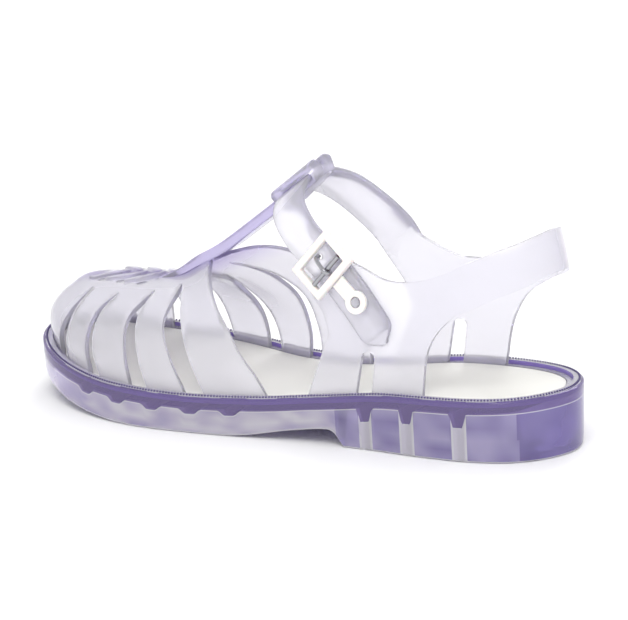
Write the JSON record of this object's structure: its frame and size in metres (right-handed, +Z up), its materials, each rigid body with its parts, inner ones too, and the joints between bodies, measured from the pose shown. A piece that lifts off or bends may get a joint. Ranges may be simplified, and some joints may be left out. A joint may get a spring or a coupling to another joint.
{
  "type": "jelly sandal",
  "caption": "Left jelly sandal of clear moulded PVC: caged toe with a plaited ridge, T-bar, keeper, buckled ankle strap, open heel and a low ribbed sole",
  "frame": {"origin": "middle of the bounding box, on the ground under the sole", "axes": "+Y to the toe, +Z up, +X to the inner (big toe) side of the left shoe"},
  "size_m": [0.0927, 0.255, 0.1092],
  "materials": {
    "sole_pvc": "gloss violet clear PVC",
    "insole_foam": "white faced foam",
    "upper_pvc": "frosted clear PVC",
    "buckle_plastic": "milky moulded plastic",
    "buckle_steel": "polished steel"
  },
  "bodies": {
    "root": {"outsole": "sole_pvc", "insole": "insole_foam", "upper": "upper_pvc", "buckle_frame": "buckle_plastic", "buckle_rod": "buckle_steel", "buckle_prong": "buckle_steel", "buckle_tongue": "buckle_plastic", "tongue_stud": "upper_pvc"}
  },
  "joints": []
}
